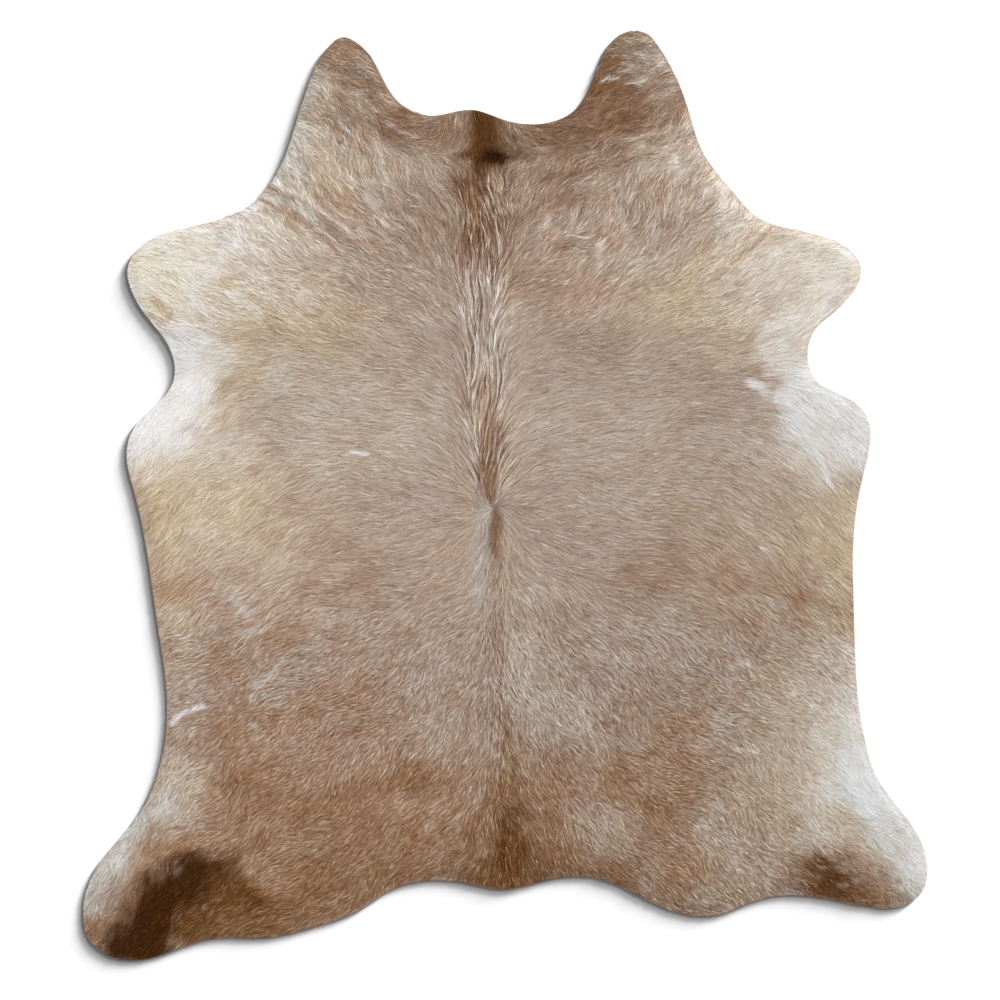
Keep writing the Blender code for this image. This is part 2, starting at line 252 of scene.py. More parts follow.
# Soft patches, laid over each other in this order. "tilt" turns a patch anticlockwise, in degrees.
Patch = namedtuple("Patch", "tone px py half_width half_height strength tilt", defaults=(0,))
PATCHES = rows_of(
    Patch,
    # The body at large.
    (PALE, 335, 415, 150, 85, 0.85), (PALE, 620, 440, 110, 90, 0.4), (ROSY, 400, 225, 110, 90, 0.55),
    (ROSY, 560, 290, 100, 70, 0.45), (ROSY, 500, 740, 400, 200, 0.6), (ASH, 610, 220, 120, 110, 0.55),
    (ASH, 400, 190, 90, 90, 0.35), (TAN, 250, 560, 130, 110, 0.6), (TAN, 760, 560, 110, 110, 0.6),
    (RUSSET, 320, 800, 180, 110, 0.65), (RUSSET, 620, 810, 160, 100, 0.6), (TAN, 700, 760, 120, 110, 0.4),
    (TAN, 740, 862, 70, 40, 0.5), (RUSSET, 750, 892, 32, 18, 0.55), (BROWN, 300, 885, 200, 60, 0.65, 10),
    (BROWN, 560, 880, 110, 45, 0.65), (BROWN, 680, 900, 80, 24, 0.45), (TAUPE, 440, 690, 60, 80, 0.4),
    (TAUPE, 545, 690, 45, 80, 0.6), (PALE, 540, 668, 34, 50, 0.8),
    # Left shoulder and foreleg.
    (SAND, 312, 150, 60, 100, 0.45, -20), (SAND, 270, 270, 80, 90, 0.75), (GOLD, 300, 325, 80, 50, 0.55),
    (SAND, 215, 340, 55, 70, 0.6), (CREAM, 200, 268, 110, 70, 0.95), (IVORY, 152, 298, 48, 52, 1),
    (CREAM, 148, 298, 36, 40, 0.5), (CREAM, 262, 215, 40, 40, 0.25), (IVORY, 160, 250, 60, 45, 0.6),
    (GOLD, 166, 312, 22, 14, 0.2), (WHITE, 190, 370, 42, 46, 0.95), (WHITE, 152, 422, 50, 40, 1, 20),
    (CREAM, 165, 460, 50, 30, 0.7), (PALE, 302, 262, 56, 54, 0.5), (TAUPE, 354, 274, 34, 30, 0.75),
    (SAND, 238, 364, 30, 40, 0.85), (CREAM, 218, 362, 24, 32, 0.8), (WHITE, 192, 350, 22, 22, 0.5),
    (SAND, 216, 412, 20, 20, 0.5), (TAUPE, 270, 470, 28, 24, 0.6), (UMBER, 352, 270, 30, 26, 0.3),
    (TAUPE, 312, 250, 26, 22, 0.4), (SAND, 232, 292, 26, 20, 0.7), (TAUPE, 312, 212, 28, 22, 0.5),
    (CREAM, 220, 452, 42, 26, 0.6),
    # Left flank and hip.
    (SAND, 200, 495, 75, 60, 0.75), (SAND, 245, 510, 50, 70, 0.4), (GOLD, 165, 525, 32, 45, 0.75),
    (GOLD, 172, 620, 30, 90, 0.55), (RUSSET, 180, 595, 30, 15, 0.45), (PALE, 250, 560, 80, 45, 0.25),
    (ROSY, 330, 552, 30, 18, 0.6), (ROSY, 225, 590, 40, 22, 0.5), (ROSY, 315, 592, 26, 15, 0.6),
    (ROSY, 365, 572, 24, 26, 0.65), (RUSSET, 282, 632, 34, 20, 0.5), (ROSY, 225, 670, 50, 45, 0.5),
    (RUSSET, 230, 675, 30, 25, 0.35), (ROSY, 340, 680, 60, 40, 0.55), (RUSSET, 345, 690, 45, 22, 0.4),
    (RUSSET, 250, 730, 60, 40, 0.4), (ROSY, 320, 750, 70, 40, 0.55), (BROWN, 366, 728, 16, 16, 0.55),
    (BROWN, 240, 778, 30, 18, 0.45), (RUSSET, 290, 712, 28, 22, 0.65), (PALE, 268, 690, 24, 22, 0.5),
    (ROSY, 252, 612, 30, 20, 0.55), (BROWN, 300, 808, 60, 18, 0.5), (BROWN, 425, 788, 38, 18, 0.5),
    (BROWN, 350, 815, 40, 15, 0.4), (PALE, 182, 760, 26, 60, 0.4), (BROWN, 350, 792, 34, 18, 0.6),
    (BROWN, 410, 780, 30, 24, 0.55), (BROWN, 312, 868, 26, 22, 0.55), (RUSSET, 210, 775, 30, 24, 0.4),
    (RUSSET, 265, 770, 40, 24, 0.5),
    # Left shank.
    (PALE, 172, 800, 34, 56, 0.4), (SAND, 168, 775, 26, 34, 0.6), (TAN, 171, 811, 32, 26, 0.85),
    (TAN, 190, 770, 20, 20, 0.4), (BROWN, 246, 788, 28, 20, 0.4), (SILVER, 118, 856, 90, 34, 1, 54),
    (BROWN, 225, 925, 130, 70, 0.9, 4), (RUSSET, 270, 872, 36, 22, 0.5, -20),
    (TAN, 268, 872, 30, 16, 0.45, -20), (BROWN, 370, 890, 40, 16, 0.5),
    (RUSSET, 178, 840, 56, 26, 0.75, 10), (RUSSET, 140, 872, 66, 26, 0.8, 58),
    (RUSSET, 98, 928, 32, 30, 0.8), (GREY, 108, 892, 14, 26, 0.6, 20), (DARK, 200, 910, 66, 44, 0.85, 10),
    (DARK, 134, 908, 38, 26, 0.45, 55), (DARK, 206, 860, 34, 18, 0.5), (DEEP, 154, 918, 70, 30, 1, 58),
    (DEEP, 136, 944, 42, 26, 0.95), (DEEP, 188, 877, 46, 29, 0.95, 4), (DEEP, 174, 892, 34, 26, 0.8, 40),
    (DARK, 240, 908, 38, 20, 0.55), (DARK, 196, 936, 40, 12, 0.5), (BROWN, 262, 931, 50, 12, 0.65),
    (BROWN, 290, 924, 34, 18, 0.8), (COCOA, 292, 926, 30, 16, 0.4), (BROWN, 270, 850, 26, 20, 0.4),
    (DARK, 238, 890, 40, 16, 0.55, -28),
    # Poll and back.
    (ROSY, 545, 175, 80, 60, 0.55), (UMBER, 500, 122, 120, 30, 0.85), (COCOA, 560, 130, 50, 22, 0.5),
    (COCOA, 455, 132, 28, 24, 0.6), (COCOA, 424, 128, 36, 22, 0.55), (UMBER, 430, 148, 30, 16, 0.45),
    (UMBER, 451, 235, 24, 56, 0.55), (UMBER, 520, 225, 26, 44, 0.4), (COCOA, 484, 215, 27, 84, 0.8),
    (COCOA, 493, 212, 16, 50, 0.6), (COCOA, 476, 214, 18, 50, 0.3), (COCOA, 482, 174, 20, 24, 0.6),
    (COCOA, 478, 262, 28, 34, 0.45), (DARK, 487, 134, 22, 48, 0.95), (DARK, 482, 134, 12, 44, 0.9),
    (DEEP, 483, 136, 12, 44, 0.5), (DARK, 479, 225, 10, 60, 0.25), (DARK, 488, 158, 24, 12, 0.9, 4),
    (GREY, 484, 325, 34, 50, 0.55), (GREY, 506, 345, 18, 60, 0.4), (UMBER, 513, 274, 17, 28, 0.6),
    (GREY, 487, 540, 12, 40, 0.7), (TAUPE, 514, 460, 30, 50, 0.5), (RUSSET, 486, 420, 12, 44, 0.55),
    (COCOA, 488, 466, 13, 46, 0.6, 3), (COCOA, 490, 486, 11, 26, 0.95), (SILVER, 488, 508, 8, 10, 0.7),
    (GREY, 483, 560, 14, 70, 0.75), (COCOA, 497, 532, 8, 36, 0.9, -2), (COCOA, 498, 590, 6, 60, 0.3, -2),
    (ROSY, 501, 680, 8, 60, 0.6, -2), (BROWN, 508, 765, 14, 80, 0.6, -3), (BROWN, 512, 840, 44, 60, 0.75),
    (DARK, 513, 855, 18, 50, 0.85, -2), (BROWN, 505, 886, 64, 12, 0.85), (DARK, 505, 880, 90, 22, 0.45),
    # Left ear and neck.
    (UMBER, 348, 66, 50, 54, 0.85), (BROWN, 352, 50, 26, 16, 0.45), (PALE, 326, 76, 18, 22, 0.65),
    (UMBER, 372, 84, 26, 18, 0.45, -30), (RUSSET, 352, 134, 30, 10, 0.6, -30),
    (COCOA, 404, 118, 36, 22, 0.8, -35), (CREAM, 278, 163, 64, 16, 0.65, 60),
    (SILVER, 304, 122, 24, 66, 0.6, -17), (PALE, 372, 172, 40, 28, 0.55, -20),
    (ROSY, 335, 212, 40, 16, 0.4, -35), (UMBER, 362, 132, 26, 14, 0.5, -30), (PALE, 328, 122, 16, 24, 0.5),
    (TAUPE, 390, 108, 18, 18, 0.4), (SILVER, 290, 182, 26, 36, 0.45, -30),
    # Right ear, and the rest of the neck.
    (PALE, 700, 195, 50, 60, 0.45), (CREAM, 738, 200, 54, 20, 0.65, -48), (UMBER, 650, 105, 54, 44, 0.85),
    (UMBER, 632, 46, 42, 34, 0.85), (UMBER, 672, 92, 28, 26, 0.75), (UMBER, 658, 230, 26, 22, 0.6),
    (TAUPE, 690, 163, 28, 28, 0.6), (PALE, 628, 252, 22, 18, 0.5), (UMBER, 410, 252, 26, 20, 0.6),
    (UMBER, 350, 120, 20, 16, 0.35), (GREY, 656, 68, 26, 18, 0.45), (COCOA, 612, 104, 42, 36, 0.9),
    (UMBER, 634, 74, 22, 18, 0.6), (BROWN, 606, 76, 24, 30, 0.85), (DARK, 600, 78, 16, 26, 0.45),
    (PALE, 636, 72, 24, 20, 0.35), (UMBER, 654, 72, 24, 18, 0.55), (COCOA, 580, 128, 60, 24, 0.8, 8),
    (COCOA, 640, 120, 50, 16, 0.4, 10), (PALE, 672, 160, 30, 24, 0.55), (COCOA, 608, 152, 26, 14, 0.65, 10),
    (UMBER, 545, 168, 70, 40, 0.5), (UMBER, 528, 208, 34, 30, 0.55), (COCOA, 562, 178, 18, 12, 0.45),
    (COCOA, 576, 198, 22, 12, 0.5, 10), (RUSSET, 557, 248, 14, 12, 0.5), (RUSSET, 612, 240, 10, 18, 0.3),
    (ROSY, 580, 289, 60, 20, 0.75),
    # Right shoulder and foreleg.
    (SAND, 745, 285, 70, 65, 0.65), (GOLD, 695, 305, 75, 45, 0.6), (CREAM, 820, 270, 90, 54, 0.9),
    (CREAM, 745, 218, 30, 20, 0.45), (CREAM, 795, 325, 38, 40, 0.75), (CREAM, 785, 365, 26, 26, 0.75),
    (WHITE, 812, 378, 34, 26, 1), (WHITE, 840, 418, 52, 38, 0.95, -20), (CREAM, 822, 452, 56, 42, 0.9),
    (WHITE, 800, 415, 40, 24, 0.6, -35), (CREAM, 820, 482, 15, 14, 0.6),
    (WHITE, 834, 438, 60, 36, 0.75, -20), (PALE, 752, 295, 60, 44, 0.75), (SAND, 735, 350, 34, 26, 0.6),
    (CREAM, 790, 352, 34, 26, 0.85), (PALE, 752, 432, 30, 30, 0.6),
    # Right flank and hip.
    (PALE, 790, 480, 60, 60, 0.4), (GOLD, 835, 540, 34, 60, 0.85), (SAND, 832, 508, 28, 24, 0.85),
    (SAND, 832, 592, 26, 20, 0.5), (GOLD, 830, 620, 40, 50, 0.6), (ROSY, 655, 570, 56, 28, 0.5),
    (PALE, 560, 592, 60, 24, 0.5), (ROSY, 675, 545, 14, 34, 0.6), (RUSSET, 718, 580, 24, 26, 0.3, -20),
    (ROSY, 790, 572, 36, 20, 0.45), (ROSY, 612, 572, 26, 20, 0.6), (RUSSET, 796, 598, 14, 16, 0.5),
    (RUSSET, 745, 625, 26, 14, 0.45, 20), (RUSSET, 830, 607, 28, 14, 0.35), (ROSY, 660, 690, 60, 50, 0.3),
    (RUSSET, 688, 722, 26, 14, 0.6, -10), (RUSSET, 662, 752, 30, 28, 0.45),
    (RUSSET, 612, 770, 26, 24, 0.45), (BROWN, 656, 806, 30, 13, 0.55, -20), (PALE, 740, 790, 50, 45, 0.35),
    (PALE, 640, 640, 80, 36, 0.5), (PALE, 568, 715, 30, 40, 0.45), (PALE, 612, 835, 34, 22, 0.45),
    (PALE, 715, 830, 34, 26, 0.5), (SAND, 756, 798, 40, 36, 0.45), (PALE, 728, 880, 50, 28, 0.35),
    (RUSSET, 690, 790, 24, 16, 0.45), (RUSSET, 690, 870, 30, 20, 0.7), (PALE, 752, 694, 34, 30, 0.6),
    (PALE, 592, 812, 28, 22, 0.5), (PALE, 752, 850, 30, 24, 0.5), (SAND, 790, 548, 26, 24, 0.5),
    (PALE, 752, 608, 26, 20, 0.5), (PALE, 815, 690, 60, 60, 0.6), (SAND, 812, 745, 64, 110, 0.8),
    (CREAM, 822, 770, 50, 90, 0.35, 8), (CREAM, 836, 685, 40, 36, 0.55), (CREAM, 848, 735, 26, 70, 0.85),
    (CREAM, 850, 710, 30, 34, 0.95),
    # Right shank.
    (CREAM, 842, 790, 46, 74, 0.85, 8), (SILVER, 900, 832, 80, 38, 1, -58),
    (WHITE, 872, 762, 48, 20, 1, -72), (WHITE, 884, 790, 60, 22, 1, -60), (SILVER, 912, 868, 40, 40, 1),
    (SILVER, 886, 836, 60, 40, 0.6, -58), (WHITE, 895, 828, 58, 28, 0.6, -58),
    (SAND, 854, 838, 40, 28, 0.55, -20), (SAND, 832, 812, 26, 20, 0.7), (SILVER, 912, 862, 36, 34, 0.9),
    (WHITE, 914, 856, 30, 28, 0.8), (SAND, 888, 854, 18, 14, 0.4), (ROSY, 790, 868, 40, 20, 0.25),
    (RUSSET, 846, 873, 50, 23, 0.6, -10), (BROWN, 846, 888, 54, 20, 0.8, -8),
    (DARK, 830, 877, 32, 22, 0.95, -25), (DARK, 808, 888, 26, 10, 0.5), (BROWN, 878, 902, 30, 10, 0.6, 6),
    # The pit at the poll: its dark hair, with painted shade in the hollow.
    (DARK, 490, 155, 25, 14, 0.9, 6), (PIT_DARK_AND_PAINTED_SHADE, 494, 156, 19, 11, 1, 6),
)

# Places where single locks of another tone lie among the rest, laid out like the patches.
FLECKS = rows_of(
    Patch,
    (CREAM, 335, 190, 90, 70, 0.28), (CREAM, 640, 200, 80, 70, 0.28), (BROWN, 348, 130, 50, 18, 0.7, -25),
    (RUSSET, 345, 218, 70, 22, 0.6, -35), (BROWN, 365, 85, 40, 30, 0.5), (COCOA, 560, 190, 80, 60, 0.45),
    (COCOA, 600, 150, 60, 30, 0.5), (SILVER, 644, 62, 40, 28, 0.7, -20), (SILVER, 650, 80, 36, 18, 0.7),
    (WHITE, 235, 250, 50, 14, 0.35), (WHITE, 225, 298, 50, 14, 0.5), (SILVER, 235, 610, 36, 30, 0.6),
    (CREAM, 478, 245, 26, 55, 0.25),
)

# Places with smaller specks.
SPECKS = rows_of(
    Patch,
    (SILVER, 850, 872, 46, 22, 0.4, -10), (TAN, 886, 884, 34, 24, 0.6), (BROWN, 886, 888, 30, 20, 0.4),
    (TAN, 225, 912, 40, 24, 0.3),
)

# Places where the coat is shorter and smoother, or where it is rougher, with a strength below 0.
SMOOTH_PARTS = rows_of(
    Patch,
    (UMBER, 620, 190, 130, 110, -0.22), (SILVER, 118, 862, 100, 44, 0.7, 54),
    (CREAM, 180, 270, 80, 60, 0.4), (CREAM, 825, 270, 70, 60, 0.5), (SILVER, 896, 826, 130, 56, 1, -58),
    (WHITE, 864, 758, 70, 40, 0.4, -70), (CREAM, 820, 770, 70, 100, 0.4), (WHITE, 170, 400, 60, 80, 0.35),
    (WHITE, 830, 410, 60, 80, 0.35),
)

# Short marks in another tone: bowed strokes, and along the neck's creases painted shade and painted
# highlight.
Mark = namedtuple("Mark", "tone px py end_px end_py bow half_width strength")
MARKS_AND_CREASE_SHADING = rows_of(
    Mark,
    (WHITE, 350, 449, 366, 453, 0, 1.8, 0.95), (WHITE, 173, 723, 201, 706, 4, 2.6, 0.95),
    (WHITE, 753, 384, 764, 393, 0, 4.5, 0.9), (WHITE, 776, 397, 808, 412, 0, 2.6, 0.85),
    (WHITE, 813, 450, 826, 483, 3, 3, 0.85), (SILVER, 254, 687, 272, 676, 0, 3.5, 0.7),
    (SILVER, 268, 676, 284, 655, 0, 3.5, 0.6), (SILVER, 250, 698, 266, 698, 0, 3, 0.5),
    (SILVER, 248, 724, 256, 726, 0, 3, 0.5), (SILVER, 246, 638, 264, 628, 0, 3.5, 0.6),
    (SILVER, 232, 600, 246, 612, 0, 2.5, 0.5), (WHITE, 761, 546, 766, 549, 0, 2.2, 0.6),
    (SILVER, 766, 601, 782, 606, 0, 4, 0.5), (CREAM, 734, 670, 745, 664, 0, 3.5, 0.55),
    (CREAM, 736, 746, 757, 749, 0, 3, 0.5), (GOLD, 229, 281, 237, 287, 0, 4, 0.9),
    (GOLD, 160, 303, 170, 318, 0, 6, 0.8), (CREAM, 600, 240, 600, 272, 0, 2.2, 0.6),
    (CREAM, 672, 160, 676, 170, 0, 4, 0.6), (WHITE, 600, 80, 610, 81, 0, 1.6, 0.6),
    # Creases on the neck: painted shade along their folds and painted highlight along their ridges.
    (BROWN, 327, 117, 352, 130, 1, 1.6, 0.6), (BROWN, 340, 127, 376, 160, -2, 1.6, 0.6),
    (CREAM, 345, 126, 382, 152, -2, 1.6, 0.5), (BROWN, 388, 127, 418, 146, 0, 1.6, 0.55),
    (CREAM, 392, 124, 420, 140, 0, 1.4, 0.45), (CREAM, 268, 178, 352, 232, 3, 2.4, 0.55),
    (UMBER, 272, 186, 364, 247, 3, 2.4, 0.6), (CREAM, 262, 190, 330, 238, 3, 2.2, 0.45),
    (ROSY, 264, 200, 344, 258, 3, 2.4, 0.8), (BROWN, 330, 78, 375, 90, -2, 1.6, 0.45),
    (CREAM, 322, 84, 366, 96, -2, 1.6, 0.4), (BROWN, 688, 121, 565, 139, 3, 1.8, 0.45),
    (CREAM, 688, 128, 600, 142, 3, 1.6, 0.2), (BROWN, 640, 160, 552, 173, 4, 1.8, 0.4),
)

# In half widths and half heights of a patch.
PATCH_CORE = 0.35
PATCH_END = 1.3
PATCH_REACH = 1.7
RAGGED = 0.12
# In pixels. A patch of the large size has the whole shift.
SHIFT_REACH = 20
LARGE_PATCH = 30
# How strong the clouds of browner and paler hair are, and the streaks of hair.
CLOUD_DEPTH = 0.065
CLOUD_WARMTH = np.array((0.6, 1.0, 1.36), np.float32)
FINE_STREAKS = 0.17
LONG_STREAKS = 0.035
NECK_STREAKS = 0.03
MANE_STREAKS = 0.41
BRIGHTENING = 1.225


def linear(tone):
    """A tone as the light that it gives back."""
    value = np.array(tone) / 255
    return BRIGHTENING * np.where(value > 0.04045, ((value + 0.055) / 1.055) ** 2.4, value / 12.92)


def away_from(patch, px, py):
    """How far each place is from the patch's middle: 1 is at the end of its half width or half height."""
    tilt = np.radians(patch.tilt)
    along, beside = turned(px - patch.px, patch.py - py, -tilt)
    return np.hypot(along / patch.half_width, beside / patch.half_height)


def faded(away):
    """How strong a patch is at each place: 1 in its core, and 0 from its end outwards."""
    return smooth_step(-away, -PATCH_END, -PATCH_CORE)


def tint(colours, tone, weight):
    """Draws the colours towards the tone."""
    colours += weight[..., None] * (linear(tone) - colours)


def coat_colours(random, flow):
    """The coat's colour over the frame, without its separate hairs."""
    shift = [5 * noise(random, 38) + 3 * noise(random, 15) + 1.5 * noise(random, 6) for _ in range(2)]
    ragged = 0.6 * drawn_out(noise(random, 3), flow, 9) + 0.5 * drawn_out(noise(random, 8), flow, 9)
    colours = np.empty((FRAME, FRAME, 3), np.float32)
    colours[:] = linear(BASE_TONE)
    for patch in PATCHES:
        reach = PATCH_REACH * max(patch.half_width, patch.half_height) + SHIFT_REACH
        rows = slice(max(0, int(patch.py - reach)), int(patch.py + reach))
        columns = slice(max(0, int(patch.px - reach)), int(patch.px + reach))
        here = rows, columns
        size = min(1.0, patch.half_height / LARGE_PATCH, patch.half_width / LARGE_PATCH)
        away = away_from(patch, PX[here] + size * shift[0][here], PY[here] + size * shift[1][here])
        weight = patch.strength * faded(away - RAGGED * ragged[here])
        tint(colours[here], patch.tone, weight)
    for patches, strokes in (
        (FLECKS, drawn_out(noise(random, 1.6), flow, 9)),
        (SPECKS, drawn_out(noise(random, 2.2), flow, 2)),
    ):
        for patch in patches:
            weight = patch.strength * faded(away_from(patch, PX, PY)) * smooth_step(strokes, 0.4, 1.6)
            tint(colours, patch.tone, weight)
    # Marks, and the painted shade and painted highlight along the neck's creases.
    for mark in MARKS_AND_CREASE_SHADING:
        away = bowed_distance(mark, PX + 0.3 * shift[0], PY + 0.3 * shift[1])
        weight = mark.strength * smooth_step(-away, -1.5 * mark.half_width, -0.5 * mark.half_width)
        tint(colours, mark.tone, weight)
    # Clouds of browner and paler hair, strongest behind the ribs and on the neck.
    low, neck = towards_rump(520, 680), towards_neck(320, 200)
    clouds = (0.4 + 0.35 * low) * drawn_out(noise(random, 20), flow, 8)
    clouds = clouds + (0.5 + 0.2 * low + 0.5 * neck) * drawn_out(noise(random, 7), flow, 8)
    colours *= np.exp(CLOUD_DEPTH * clouds[..., None] * CLOUD_WARMTH)
    return colours


def bowed_distance(mark, px, py):
    """How far each place is from a bowed line, in pixels."""
    dx, dy = mark.end_px - mark.px, mark.end_py - mark.py
    length = np.hypot(dx, dy)
    along = ((px - mark.px) * dx + (py - mark.py) * dy) / length**2
    beside = ((px - mark.px) * dy - (py - mark.py) * dx) / length
    t = np.clip(along, 0, 1)
    return np.hypot(beside - 4 * mark.bow * t * (1 - t), (along - t) * length)


def contrast_field():
    """How much the hairs differ from each other: most along the back, and least on the flanks."""
    neck, low = towards_neck(), towards_rump()
    hind = bell(ACROSS, 12) * towards_rump(500, 540)
    whorl = np.exp(-((PX - WHORL[0]) ** 2 + (PY - WHORL[1]) ** 2) / 30**2)
    total = 0.9 + 0.1 * neck + 0.7 * low + 0.55 * mane() + 0.4 * hind - 0.4 * whorl
    for patch in SMOOTH_PARTS:
        total = total - patch.strength * faded(away_from(patch, PX, PY))
    return total.astype(np.float32)


def mane():
    """How near each place is to the line of longer hair along the back, before the whorl."""
    return bell(ACROSS, 25, 4) * towards_neck(515, 470) * towards_rump(160, 190)


def order_field():
    """How closely the locks keep to the same way: most along the back, and least on the rump."""
    return MANE_ORDER * mane() - RUMP_DISORDER * towards_rump()


def sharpened(field, reach):
    """The field without whatever is wider than `reach` pixels each way."""
    around = field
    for axis in (0, 1):
        around = sum(np.roll(around, step, axis) for step in range(-reach, reach + 1)) / (2 * reach + 1)
    left = field - around
    return left / left.std()


def streaks_field(random, flow):
    """Lighter and darker streaks that run along the hair."""
    neck, low = towards_neck(), towards_rump()
    grain = random.standard_normal((FRAME, FRAME)).astype(np.float32)
    body, rump = (sharpened(drawn_out(grain, flow, reach), 1) for reach in (5, 3))
    fine = (1 - low) * body + low * rump
    long = drawn_out(noise(random, 1.8), flow, 20)
    strands = np.minimum(sharpened(drawn_out(noise(random, 1.1), flow, 16), 1), 1.1)
    long_share = LONG_STREAKS * (1 - 0.8 * low) + NECK_STREAKS * neck
    total = FINE_STREAKS * (1 + 0.5 * low + 0.8 * mane()) * fine + long_share * long
    return (total + MANE_STREAKS * mane() * (strands + 0.2 * long)).astype(np.float32)


# ---- The hide's shape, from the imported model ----

SPLINE_CUTS = 6
# In pixels of the frame.
RIM_BAND = 14
RIM_SLOPE = 10.1
HEIGHT_CELL = 4
FILL_STEPS = 8
# In metres.
RIM_STEP = 0.004
RIM_HEIGHT = 0.0025
FLAT = 1e-5


def signed_area(line):
    """The area inside a closed line, below 0 where it runs clockwise."""
    return 0.5 * (line[:, 0] * np.roll(line[:, 1], -1) - line[:, 1] * np.roll(line[:, 0], -1)).sum()


def cut_edge(node):
    """The hide's cut edge as a smooth closed line of evenly spaced places, clockwise."""
    shape = bmesh.new()
    shape.from_mesh(node.data)
    bmesh.ops.remove_doubles(shape, verts=shape.verts[:], dist=FLAT)
    beside = {}
    for edge in shape.edges:
        facing = sorted(abs(face.normal.z) for face in edge.link_faces)
        low = max(vertex.co.z for vertex in edge.verts) < FLAT
        if low and len(facing) == 2 and facing[0] < 0.1 < facing[1]:
            a, b = edge.verts
            beside.setdefault(a, []).append(b)
            beside.setdefault(b, []).append(a)
    before, here = None, next(iter(beside))
    first, line = here, []
    while here is not first or not line:
        line.append(here.co.xy[:])
        a, b = beside[here]
        before, here = here, b if a is before else a
    shape.free()
    line = np.array(line)
    line = line if signed_area(line) < 0 else line[::-1]
    # A smooth line through the corners, then even steps along it.
    t = np.linspace(0, 1, SPLINE_CUTS, endpoint=False)[:, None, None]
    back, last, after = np.roll(line, 1, 0), np.roll(line, -1, 0), np.roll(line, -2, 0)
    curve = 2 * line + (last - back) * t + (2 * back - 5 * line + 4 * last - after) * t**2
    curve = (curve + (3 * line - back - 3 * last + after) * t**3) / 2
    curve = curve.transpose(1, 0, 2).reshape(-1, 2)
    closed = np.vstack([curve, curve[:1]])
    reach = np.concatenate([[0], np.cumsum(np.linalg.norm(np.diff(closed, axis=0), axis=1))])
    steps = np.linspace(0, reach[-1], round(reach[-1] / RIM_STEP), endpoint=False)
    return np.stack([np.interp(steps, reach, closed[:, axis]) for axis in (0, 1)], axis=1)


def inside_field(edge):
    """Which pixels of the frame lie on the hide."""
    found = np.zeros((FRAME, FRAME), bool)
    x0, y0 = to_pixels(edge).T
    x1, y1 = np.roll(x0, -1), np.roll(y0, -1)
    for row in range(FRAME):
        spans = (y0 > row) != (y1 > row)
        crossings = x0[spans] + (row - y0[spans]) * (x1[spans] - x0[spans]) / (y1[spans] - y0[spans])
        crossings.sort()
        for start, end in zip(crossings[::2], crossings[1::2]):
            found[row, int(np.ceil(start)) : int(np.floor(end)) + 1] = True
    return found


def grown(field):
    """The marked pixels with their neighbours."""
    around = [np.roll(field, way, axis) for way in (1, -1) for axis in (0, 1)]
    return np.logical_or.reduce([field, *around])


def rim_field(edge):
    """How far inside the cut edge each pixel is, in pixels, and at most RIM_BAND."""
    inside = inside_field(edge)
    larger, smaller = inside, inside
    for _ in range(RIM_BAND + 1):
        larger, smaller = grown(larger), ~grown(~smaller)
    corners = to_pixels(edge)
    marks = np.vstack([corners, (corners + np.roll(corners, -1, axis=0)) / 2])
    tree = KDTree(len(marks))
    for index, (px, py) in enumerate(marks):
        tree.insert((px, py, 0), index)
    tree.balance()
    distance = np.full((FRAME, FRAME), RIM_BAND, np.float32)
    for row, column in np.argwhere(larger & ~smaller):
        distance[row, column] = tree.find((column, row, 0))[2]
    distance = np.minimum(distance, RIM_BAND)
    return np.where(inside, distance, -distance)


def height_field(node, rim):
    """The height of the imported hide's upper side over the frame, in metres."""
    tree = BVHTree.FromPolygons(
        [vertex.co[:] for vertex in node.data.vertices], [face.vertices[:] for face in node.data.polygons]
    )
    count = FRAME // HEIGHT_CELL
    inner = rim[::HEIGHT_CELL, ::HEIGHT_CELL] > RIM_SLOPE
    heights = np.zeros((count, count), np.float32)
    for row, column in np.argwhere(inner):
        x, y = (column * HEIGHT_CELL - MIDDLE_PX) * PIXEL, (MIDDLE_PY - row * HEIGHT_CELL) * PIXEL
        heights[row, column] = tree.ray_cast(Vector((x, y, 1)), Vector((0, 0, -1)))[0].z
    # The heights at the foot of the rim's slope carry on outwards, and the slope then brings them down.
    known = inner.astype(np.float32)
    for _ in range(FILL_STEPS):
        total, count_known = np.zeros_like(heights), np.zeros_like(heights)
        for axis in (0, 1):
            for way in (1, -1):
                total += np.roll(heights * known, way, axis)
                count_known += np.roll(known, way, axis)
        reached = (known == 0) & (count_known > 0)
        heights[reached] = total[reached] / count_known[reached]
        known[reached] = 1
    full = at(heights, PX / HEIGHT_CELL, PY / HEIGHT_CELL)
    return RIM_HEIGHT + smooth_step(rim, 0, RIM_SLOPE) * (full - RIM_HEIGHT)


# ---- Relief of the coat ----

# Creases that run through the coat, finer than the solid's. "depth" is in metres, and below 0 for a ridge.
Furrow = namedtuple("Furrow", "px py end_px end_py bow half_width depth")
FURROWS = rows_of(
    Furrow,
    (325, 117, 378, 150, -4, 4, 0.0016), (328, 128, 372, 158, -4, 4, -0.0012),
    (271, 184, 366, 250, 5, 5, -0.0014), (268, 196, 350, 262, 5, 5, 0.0012),
    (688, 121, 565, 139, 3, 4, 0.0014), (691, 137, 552, 173, 6, 5, -0.0012),
    (815, 487, 862, 492, 0, 4, 0.0016),
)
TUFT_HEIGHT = 0.00030
NECK_TUFTS = 0.00085


def shagginess():
    """How long and tufted the coat is: 1 on the neck and along the back, and 0 on the flanks."""
    back = bell(ACROSS, 26) * towards_neck(520, 380)
    hind = 0.45 * bell(ACROSS, 20)
    return np.maximum.reduce([towards_neck(340, 170) * 0.9, back, hind]).astype(np.float32)


